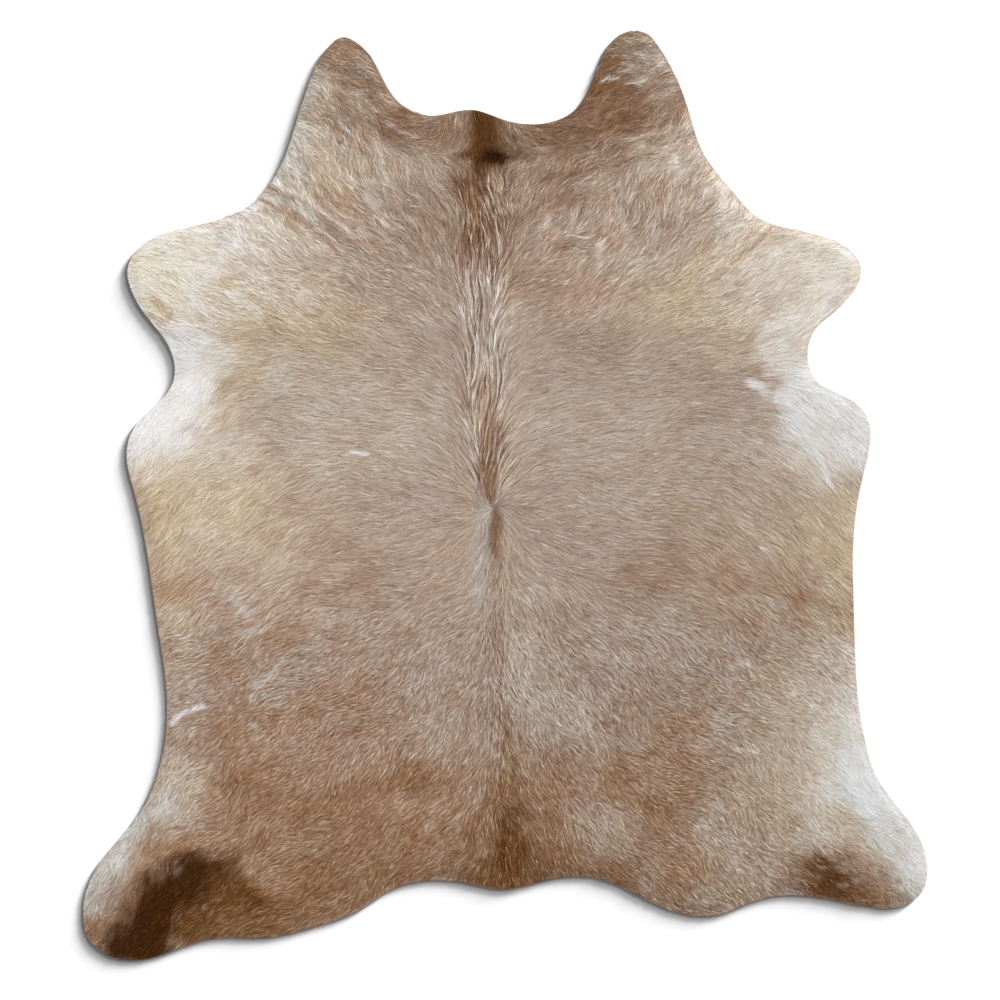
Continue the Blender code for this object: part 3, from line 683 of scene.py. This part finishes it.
def lock_lengths():
    """How long the locks are, in pixels: short on the rump and in the poll's pit, longest along the back."""
    rump = (1 - 0.8 * mane()) * towards_rump()
    shag = np.maximum(shagginess(), 1.4 * mane())
    length = LOCK_LENGTH + SHAG_LENGTH * shag - RUMP_SHORTER * rump
    pit = bell(np.hypot(PX - PIT_PLACE[0], PY - PIT_PLACE[1]), PIT_REACH)
    return (length * (1 - PIT_SHORTER * pit)).astype(np.float32)


def coat_surface(random, node, rim, flow, shag):
    """The mean height of the lying hair over the frame, with its creases and tufts."""
    surface = height_field(node, rim)
    wander = 2.5 * noise(random, 22), 2.5 * noise(random, 22)
    for furrow in FURROWS:
        away = bowed_distance(furrow, PX + wander[0], PY + wander[1])
        surface -= furrow.depth * bell(away, furrow.half_width)
    tufts = 0.6 * drawn_out(noise(random, 3.0), flow, 10) + 0.5 * drawn_out(noise(random, 6), flow, 12)
    height = TUFT_HEIGHT + (NECK_TUFTS - TUFT_HEIGHT) * shag * towards_neck(330, 230)
    surface += height * np.clip(tufts, -2.2, 2.2) * smooth_step(rim, 0, 5)
    return surface.astype(np.float32)


# ---- Meshes ----


def add_object(name, data):
    made = bpy.data.objects.new(name, data)
    bpy.context.scene.collection.objects.link(made)
    return made


def add_mesh(name, points, triangles, material):
    """An object of triangles, from arrays."""
    mesh = bpy.data.meshes.new(name)
    mesh.vertices.add(len(points))
    mesh.vertices.foreach_set("co", points.astype(np.float32).ravel())
    mesh.loops.add(3 * len(triangles))
    mesh.loops.foreach_set("vertex_index", triangles.astype(np.int32).ravel())
    mesh.polygons.add(len(triangles))
    mesh.polygons.foreach_set("loop_start", np.arange(0, 3 * len(triangles), 3, dtype=np.int32))
    mesh.update(calc_edges=True)
    mesh.materials.append(material)
    return add_object(name, mesh)


def set_colours(mesh, name, colours):
    rgba = np.ones((len(colours), 4), np.float32)
    rgba[:, :3] = colours
    mesh.color_attributes.new(name, "FLOAT_COLOR", "POINT").data.foreach_set("color", rgba.ravel())


def set_vectors(mesh, name, vectors):
    layer = mesh.attributes.new(name, "FLOAT_VECTOR", "POINT")
    layer.data.foreach_set("vector", vectors.astype(np.float32).ravel())


def set_map(mesh, places):
    """The map that patterns are drawn through, from a place in the unit square for each corner."""
    layer = mesh.uv_layers.new(name="OFBake")
    layer.uv.foreach_set("vector", places.astype(np.float32).ravel())


# ---- The skin ----

# In metres.
SKIN_GRID = 0.012
SKIN_RINGS = (0.0035, 0.0085)
SKIN_UNDER_COAT = 0.0013
SKIN_EDGE_HEIGHT = 0.0022
SAME_POINT = 1e-7
MAP_SIZE = (2.10, 4.60)
WALL_IN_MAP = 0.006
# In pixels of the frame.
SKIN_CLEAR = 5.6
# How light the under-hair is painted beside the coat: painted shade from the locks that lie over it.
SKIN_PAINTED_SHADE = 0.72

# What the fields over the frame say about the coat.
Coat = namedtuple("Coat", "rim flow shag order length surface colours contrast streaks")


def outwards_of(line):
    """The direction out of the hide at each place of its clockwise edge."""
    tangent = np.roll(line, -1, axis=0) - np.roll(line, 1, axis=0)
    tangent /= np.linalg.norm(tangent, axis=1)[:, None]
    return np.stack([-tangent[:, 1], tangent[:, 0]], axis=1)


def triangles_over(points, border_count, upwards):
    """Triangles over the points, within the border that the first `border_count` of them make."""
    border = [list(range(border_count))]
    found = geometry.delaunay_2d_cdt([Vector(point) for point in points], [], border, 1, SAME_POINT)
    faces = np.array([list(face) for face in found[2]])
    a, b, c = (points[faces[:, corner]] for corner in range(3))
    turn = (b[:, 0] - a[:, 0]) * (c[:, 1] - a[:, 1]) - (b[:, 1] - a[:, 1]) * (c[:, 0] - a[:, 0])
    wrong = (turn > 0) != upwards
    faces[wrong] = faces[wrong][:, ::-1]
    return faces


def add_skin(edge, coat, material):
    """The tanned skin with its short under-hair: a closed sheet with a flat underside."""
    rim = edge[::2]
    rings = [rim - depth * outwards_of(rim) for depth in SKIN_RINGS]
    low, high = rim.min(axis=0), rim.max(axis=0)
    x, y = np.meshgrid(np.arange(low[0], high[0], SKIN_GRID), np.arange(low[1], high[1], SKIN_GRID))
    x = x + np.where(np.arange(len(x)) % 2, SKIN_GRID / 2, 0)[:, None]
    grid = np.stack([x.ravel(), y.ravel()], axis=1)
    px, py = to_pixels(grid).T
    grid = grid[at(coat.rim, px, py) > SKIN_CLEAR]
    top = np.vstack([rim, *rings, grid])
    px, py = to_pixels(top).T
    height = np.maximum(at(coat.surface, px, py) - SKIN_UNDER_COAT, SKIN_EDGE_HEIGHT)
    height[: len(rim)] = SKIN_EDGE_HEIGHT

    count, border = len(top), len(rim)
    points = np.vstack([np.column_stack([top, height]), np.column_stack([rim, np.zeros(border)])])
    here = np.arange(border)
    after = np.roll(here, -1)
    walls = (here, after, count + after), (here, count + after, count + here)
    upper = triangles_over(top, border, True)
    under = triangles_over(rim, border, False) + count
    faces = np.concatenate([upper, under, *(np.column_stack(wall) for wall in walls)])
    skin = add_mesh("hide_skin", points, faces, material)
    smooth = np.zeros(len(faces), bool)
    smooth[: len(upper)] = True
    skin.data.polygons.foreach_set("use_smooth", smooth)

    set_colours(skin.data, "hair_tone", skin_colours(coat, points))
    # The upper side, with the cut edge round it, fills the map's upper half, and the underside the lower.
    laid_out = np.vstack([top, rim + WALL_IN_MAP * outwards_of(rim)])
    places = (laid_out / MAP_SIZE + (0.5, 0.75))[faces]
    is_under = slice(len(upper), len(upper) + len(under))
    places[is_under] = points[faces[is_under], :2] / MAP_SIZE + (0.5, 0.25)
    set_map(skin.data, places)
    return skin


def skin_colours(coat, points):
    px, py = to_pixels(points[:, :2]).T
    shade = at(coat.contrast, px, py) * at(coat.streaks, px, py)
    # Darker than the coat above: painted shade beneath the locks.
    return SKIN_PAINTED_SHADE * shaded(at(coat.colours, px, py), shade)


# ---- The lying hair ----

HAIR_SEED = 11
# In pixels of the frame.
HAIR_COLUMNS = (60, 950)
MAP_MARGIN = 20
ROOT_INSIDE = 0.1
LOCK_LENGTH = 11.0
SHAG_LENGTH = 5.0
RUMP_SHORTER = 4.8
PIT_PLACE = (494, 152)
PIT_REACH = 20
HALF_WIDTH = 0.21
OVERHANG = 0.35
# In metres.
ROOT_SINK = 0.0009
TIP_LIFT = 0.0009
LEVELS = 0.0009
ROLL = 0.00016
STREAK_HEIGHT = 0.0011
LOWEST = 0.0006
# In degrees.
SPREAD = 12
BEND = 14
# Shares.
PIT_SHORTER = 0.6
ROOT_SHIFT = 0.6
MANE_ORDER = 0.65
RUMP_DISORDER = 0.40
BEND_AT = 0.45
WISPS = 0.04
OWN_SHADE = 0.40
WISP_SHADE = 0.2
# A lock's tone at its root and at its tip: painted shade down at the skin and painted light on the raised
# tip.
ROOT_PAINTED_SHADE = 0.80
TIP_PAINTED_LIGHT = 1.12
# How much paler a lock is painted for each metre that it lies higher: painted light on the upper locks and
# painted shade on the lower ones.
LEVEL_PAINTED_LIGHT_AND_SHADE = 60
# Darker hair is also browner, and paler hair creamier.
DARKER = np.array((0.68, 1.0, 1.22), np.float32)
PALER = np.array((0.94, 1.0, 1.04), np.float32)
PALEST = 0.96

# A stretch of the coat, between two rows of the frame. "area" is the skin to a lock, in square millimetres.
Stretch = namedtuple("Stretch", "name first_row last_row area bent")
STRETCHES = rows_of(
    Stretch,
    ("coat_neck", 0, 222, 4.6, True),
    ("coat_shoulders", 222, 330, 4.6, True),
    ("coat_ribs", 330, 516, 4.4, False),
    ("coat_loin", 516, 705, 4.4, False),
    ("coat_rump", 705, FRAME, 4.8, False),
)


def shaded(tone, shade):
    """The tone made darker where the shade is below 0, and paler where it is above."""
    steps = shade[:, None] * np.where(shade[:, None] > 0, PALER, DARKER)
    tone = tone * np.exp(steps)
    return tone / (1 + (tone / PALEST) ** 6) ** (1 / 6)


def lock_roots(random, stretch, coat):
    """Places for the locks' roots in a stretch, spread evenly but not in rows, in pixels."""
    step = np.sqrt(stretch.area) / (1000 * PIXEL)
    rows = np.arange(stretch.first_row, stretch.last_row, step)
    grid = np.meshgrid(np.arange(*HAIR_COLUMNS, step), rows)
    px, py = ((each + random.uniform(-ROOT_SHIFT, ROOT_SHIFT, each.shape) * step).ravel() for each in grid)
    kept = at(coat.rim, px, py) > ROOT_INSIDE
    return px[kept], py[kept]


def lock_paths(random, px, py, length, shag, coat):
    """Each lock's two halves, as steps to the right and up: along the hair at its root, then further on."""
    loose = 1 - at(coat.order, px, py)
    turn = random.normal(0, np.radians(SPREAD), len(px)) * loose
    right, up = turned(*(at(way, px, py) for way in coat.flow), turn)
    first = right * BEND_AT * length, up * BEND_AT * length
    bend = turn + random.normal(0, np.radians(BEND), len(px)) * (0.3 + shag) * loose
    further = (at(way, px + first[0], py - first[1]) for way in coat.flow)
    right, up = turned(*further, bend)
    return first, (right * (1 - BEND_AT) * length, up * (1 - BEND_AT) * length)


def add_locks(random, stretch, coat, material):
    """One stretch of the coat: locks of lying hair, each a thin leaf with its root in the skin."""
    px, py = lock_roots(random, stretch, coat)
    count = len(px)
    shag = at(coat.shag, px, py)
    length = at(coat.length, px, py)
    half = HALF_WIDTH * np.sqrt(length / LOCK_LENGTH) * random.uniform(0.7, 1.3, count)
    length = length * random.uniform(0.65, 1.35, count)
    first, second = lock_paths(random, px, py, length, shag, coat)
    # A lock at the cut edge ends there.
    root_inside = at(coat.rim, px, py)
    tip_inside = at(coat.rim, px + first[0] + second[0], py - first[1] - second[1])
    cut = np.clip((root_inside + OVERHANG) / np.maximum(root_inside - tip_inside, 1e-3), 0.08, 1)
    cut[tip_inside > -OVERHANG] = 1
    first, second = [[step * cut for step in half_path] for half_path in (first, second)]

    level = LEVELS * random.uniform(0, 1, count) ** 1.5
    raised = STREAK_HEIGHT * np.clip(at(coat.streaks, px, py), -0.6, 0.6)
    wisps = random.uniform(0, 1, count) < WISPS
    level[wisps] = LEVELS
    roll = random.normal(0, ROLL, count) * (1 + 0.5 * shag)
    side = [step / (np.hypot(*first) + 1e-6) for step in first]

    def place(right, up, beside, lift):
        x = px + right - side[1] * beside
        y = py - up - side[0] * beside
        height = at(coat.surface, x, y) + raised + level + lift
        return np.column_stack([to_metres(np.column_stack([x, y])), np.maximum(height, LOWEST)])

    tip = place(first[0] + second[0], first[1] + second[1], 0, TIP_LIFT)
    if stretch.bent:
        middle = BEND_AT * (ROOT_SINK + TIP_LIFT) - ROOT_SINK
        left, right = (place(*first, way * half, middle + way * roll) for way in (1, -1))
        rows = [place(0, 0, 0, -ROOT_SINK), left, right, tip]
        beside, along = [0, 1, -1, 0], np.array([0, BEND_AT, BEND_AT, 1])
        leaf = [(0, 2, 1), (1, 2, 3)]
    else:
        left, right = (place(0, 0, way * half, way * roll - ROOT_SINK) for way in (1, -1))
        rows = [left, right, tip]
        beside, along = [1, -1, 0], np.array([0, 0, 1])
        leaf = [(1, 2, 0)]
    corners = len(rows)
    points = np.stack(rows, axis=1).reshape(-1, 3)
    faces = (np.arange(count)[:, None, None] * corners + np.array(leaf)[None]).reshape(-1, 3)
    piece = add_mesh(stretch.name, points, faces, material)

    x, y = px + first[0], py - first[1]
    contrast = at(coat.contrast, x, y)
    shade = contrast * (at(coat.streaks, x, y) + random.normal(0, OWN_SHADE, count))
    # The level term is painted light on the higher locks and painted shade on the lower ones; the last term
    # keeps the coat's mean brightness.
    shade += LEVEL_PAINTED_LIGHT_AND_SHADE * (level - LEVELS / 2) + WISP_SHADE * wisps - 0.5 * (contrast * OWN_SHADE) ** 2
    tone = shaded(at(coat.colours, x, y), shade)
    # Each lock darker at its root and paler at its tip: painted shade down at the skin and painted light on
    # the tips.
    gradient = ROOT_PAINTED_SHADE + (TIP_PAINTED_LIGHT - ROOT_PAINTED_SHADE) * along
    set_colours(piece.data, "hair_tone", (tone[:, None] * gradient[None, :, None]).reshape(-1, 3))
    strand = np.empty((count, corners, 3))
    strand[:, :, 0] = beside
    strand[:, :, 1] = along
    strand[:, :, 2] = random.uniform(0, 100, count)[:, None]
    set_vectors(piece.data, "strand", strand)

    low_row = stretch.last_row + MAP_MARGIN
    rows_span = low_row - stretch.first_row + MAP_MARGIN
    flat = to_pixels(points[:, :2])
    places = np.column_stack([flat[:, 0] / FRAME, (low_row - flat[:, 1]) / rows_span])
    set_map(piece.data, np.clip(places, 0, 1)[faces])
    return piece


# ---- Finishes ----


def new_material(name):
    material = bpy.data.materials.new(name)
    material.use_nodes = True
    return material, material.node_tree, material.node_tree.nodes["Principled BSDF"]


def set_up(tree, made, **values):
    """Gives a node its settings and its inputs, by name with _ for a space. Outputs of others are linked."""
    for key, value in values.items():
        socket = made.inputs.get(key.replace("_", " "))
        if isinstance(value, bpy.types.NodeSocket):
            tree.links.new(value, socket)
        elif socket is not None:
            socket.default_value = value
        else:
            setattr(made, key, value)
    return made.outputs


def node(tree, kind, **values):
    """The outputs of a new node of that kind."""
    return set_up(tree, tree.nodes.new(f"ShaderNode{kind}"), **values)


def hair_finish():
    """Lying hair: the lock's own tone, split into fine strands, with a soft gloss along it."""
    material, tree, shader = new_material("hair")
    tone = node(tree, "Attribute", attribute_name="hair_tone")["Color"]
    strand = node(tree, "Attribute", attribute_name="strand")["Vector"]
    stretched = node(tree, "Mapping", Scale=(3.0, 0.6, 1.0), Vector=strand)["Vector"]
    strands = node(tree, "TexNoise", Scale=2.0, Detail=2.0, Roughness=0.6, Vector=stretched)["Fac"]
    limits = {"From_Min": 0.3, "From_Max": 0.7, "To_Min": 0.86, "To_Max": 1.14}
    fine = node(tree, "MapRange", Value=strands, **limits)["Result"]
    coloured = node(tree, "VectorMath", operation="SCALE", Vector=tone, Scale=fine)["Vector"]
    bump = node(tree, "Bump", Strength=0.25, Distance=0.0004, Height=strands)["Normal"]
    set_up(tree, shader, Base_Color=coloured, Normal=bump, Roughness=0.52, Specular_IOR_Level=0.05)
    return material


def skin_finish():
    """Under-hair above, and pale suede below and at the cut."""
    material, tree, shader = new_material("skin")
    tone = node(tree, "Attribute", attribute_name="hair_tone")["Color"]
    place = node(tree, "NewGeometry")
    upwards = node(tree, "SeparateXYZ", Vector=place["Normal"])["Z"]
    above = node(tree, "MapRange", From_Min=0.1, From_Max=0.5, Value=upwards)["Result"]
    nap = node(tree, "TexNoise", Scale=260.0, Detail=4.0, Roughness=0.65, Vector=place["Position"])["Fac"]
    clouds = node(tree, "TexNoise", Scale=7.0, Detail=3.0, Roughness=0.5, Vector=place["Position"])["Fac"]
    tan, buff = (0.56, 0.45, 0.33, 1), (0.68, 0.58, 0.45, 1)
    suede = node(tree, "Mix", data_type="RGBA", A=tan, B=buff, Factor=clouds)["Result"]
    both = node(tree, "Mix", data_type="RGBA", A=suede, B=tone, Factor=above)["Result"]
    bump = node(tree, "Bump", Strength=0.5, Distance=0.0006, Height=nap)["Normal"]
    set_up(tree, shader, Base_Color=both, Normal=bump, Roughness=0.85, Specular_IOR_Level=0.2)
    return material


# ---- Studio ----

LENS = 100
SENSOR = 36
FLOOR_SIZE = 40
FLOOR_DROP = 0.0003


def add_camera():
    """Straight above the hide, with its neck up in the picture."""
    camera = add_object("camera", bpy.data.cameras.new("camera"))
    camera.data.lens = LENS
    camera.data.sensor_width = SENSOR
    middle = to_metres(np.array([[FRAME / 2, FRAME / 2]]))[0]
    camera.location = (middle[0], middle[1], FRAME * PIXEL * LENS / SENSOR)
    camera.data.clip_end = 100
    bpy.context.scene.camera = camera


def add_floor():
    half = FLOOR_SIZE / 2
    points = np.array([[-half, -half, 0], [half, -half, 0], [half, half, 0], [-half, half, 0]])
    points[:, 2] -= FLOOR_DROP
    material, tree, shader = new_material("floor")
    set_up(tree, shader, Base_Color=(0.88, 0.88, 0.88, 1), Roughness=0.9, Specular_IOR_Level=0.1)
    floor = add_mesh("floor", points, np.array([[0, 1, 2], [0, 2, 3]]), material)
    return floor


def add_sun(name, strength, towards, spread, floor, on_floor):
    """Parallel light from an azimuth (0 is +Y, 90 is +X) and elevation, on the floor alone or the rest."""
    azimuth, elevation = (np.radians(angle) for angle in towards)
    sun = add_object(name, bpy.data.lights.new(name, "SUN"))
    sun.data.energy = strength
    sun.data.angle = np.radians(spread)
    level = np.cos(elevation)
    source = Vector((np.sin(azimuth) * level, np.cos(azimuth) * level, np.sin(elevation)))
    sun.rotation_euler = source.to_track_quat("Z", "Y").to_euler()
    lit = bpy.data.collections.new(f"lit_by_{name}")
    lit.objects.link(floor)
    lit.collection_objects[0].light_linking.link_state = "INCLUDE" if on_floor else "EXCLUDE"
    sun.light_linking.receiver_collection = lit


def add_light(floor):
    """Soft light from all round, two lamps for the coat, and two low ones for its shadow on the floor."""
    world = bpy.data.worlds.new("studio")
    bpy.context.scene.world = world
    world.use_nodes = True
    tree = world.node_tree
    # The camera sees it as white, as in the photograph, and it lights the hide less.
    seen = node(tree, "LightPath")["Is Camera Ray"]
    strength = node(tree, "MapRange", Value=seen, To_Min=0.16)["Result"]
    set_up(tree, tree.nodes["Background"], Color=(1, 1, 1, 1), Strength=strength)
    add_sun("fill", 1.7, (20, 65), 40, floor, False)
    add_sun("key", 3.8, (50, 28), 8, floor, False)
    add_sun("shadow", 18.6, (44, 7), 8, floor, True)
    add_sun("near_shadow", 3.3, (44, 17), 18, floor, True)
    bpy.context.scene.view_settings.view_transform = "Standard"


# ---- The whole scene ----


def main():
    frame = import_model()
    add_camera()
    add_light(add_floor())

    hide = frame["nodes"]["hide"]
    random = np.random.default_rng(HAIR_SEED)
    edge = cut_edge(hide)
    rim = rim_field(edge)
    flow = hair_flow(random)
    shag = shagginess()
    surface = coat_surface(random, hide, rim, flow, shag)
    colours = coat_colours(random, flow)
    contrast, streaks = contrast_field(), streaks_field(random, flow)
    coat = Coat(rim, flow, shag, order_field(), lock_lengths(), surface, colours, contrast, streaks)

    hair, leather = hair_finish(), skin_finish()
    skin = add_skin(edge, coat, leather)
    locks = [add_locks(random, stretch, coat, hair) for stretch in STRETCHES]
    for piece in [skin, *locks]:
        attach(piece, "root")
    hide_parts("hide")


main()
